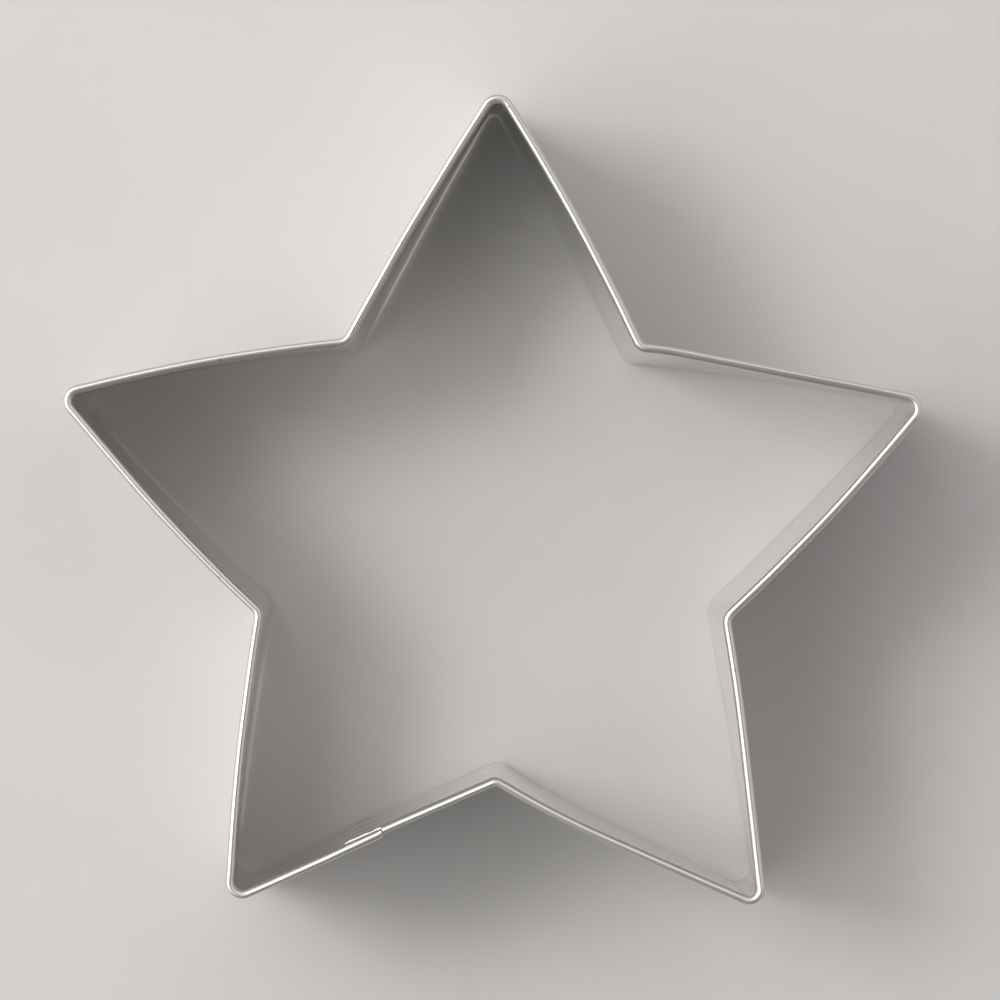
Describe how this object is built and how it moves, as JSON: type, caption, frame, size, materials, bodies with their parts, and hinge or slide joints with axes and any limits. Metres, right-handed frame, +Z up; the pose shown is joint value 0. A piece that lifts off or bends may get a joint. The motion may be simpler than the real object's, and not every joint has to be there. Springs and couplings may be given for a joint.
{
  "type": "cookie cutter",
  "caption": "Star-shaped cookie cutter bent from a strip of thin polished steel, with a folded top rim for the hand, a plain lower cutting edge and a spot-welded lap.",
  "frame": {"origin": "middle of the bounding box, in the plane of the cutting edge", "axes": "+Z up from the cutting edge to the rim, +X from the left arm to the right arm, +Y towards the top arm"},
  "size_m": [0.089, 0.084, 0.0254],
  "materials": {
    "polished_band": "mirror polished, with fine scratches",
    "weld_metal": "satin, pressed and a little discoloured"
  },
  "bodies": {
    "root": {"star_band": "polished_band", "spot_weld_1": "weld_metal", "spot_weld_2": "weld_metal", "spot_weld_3": "weld_metal"}
  },
  "joints": []
}
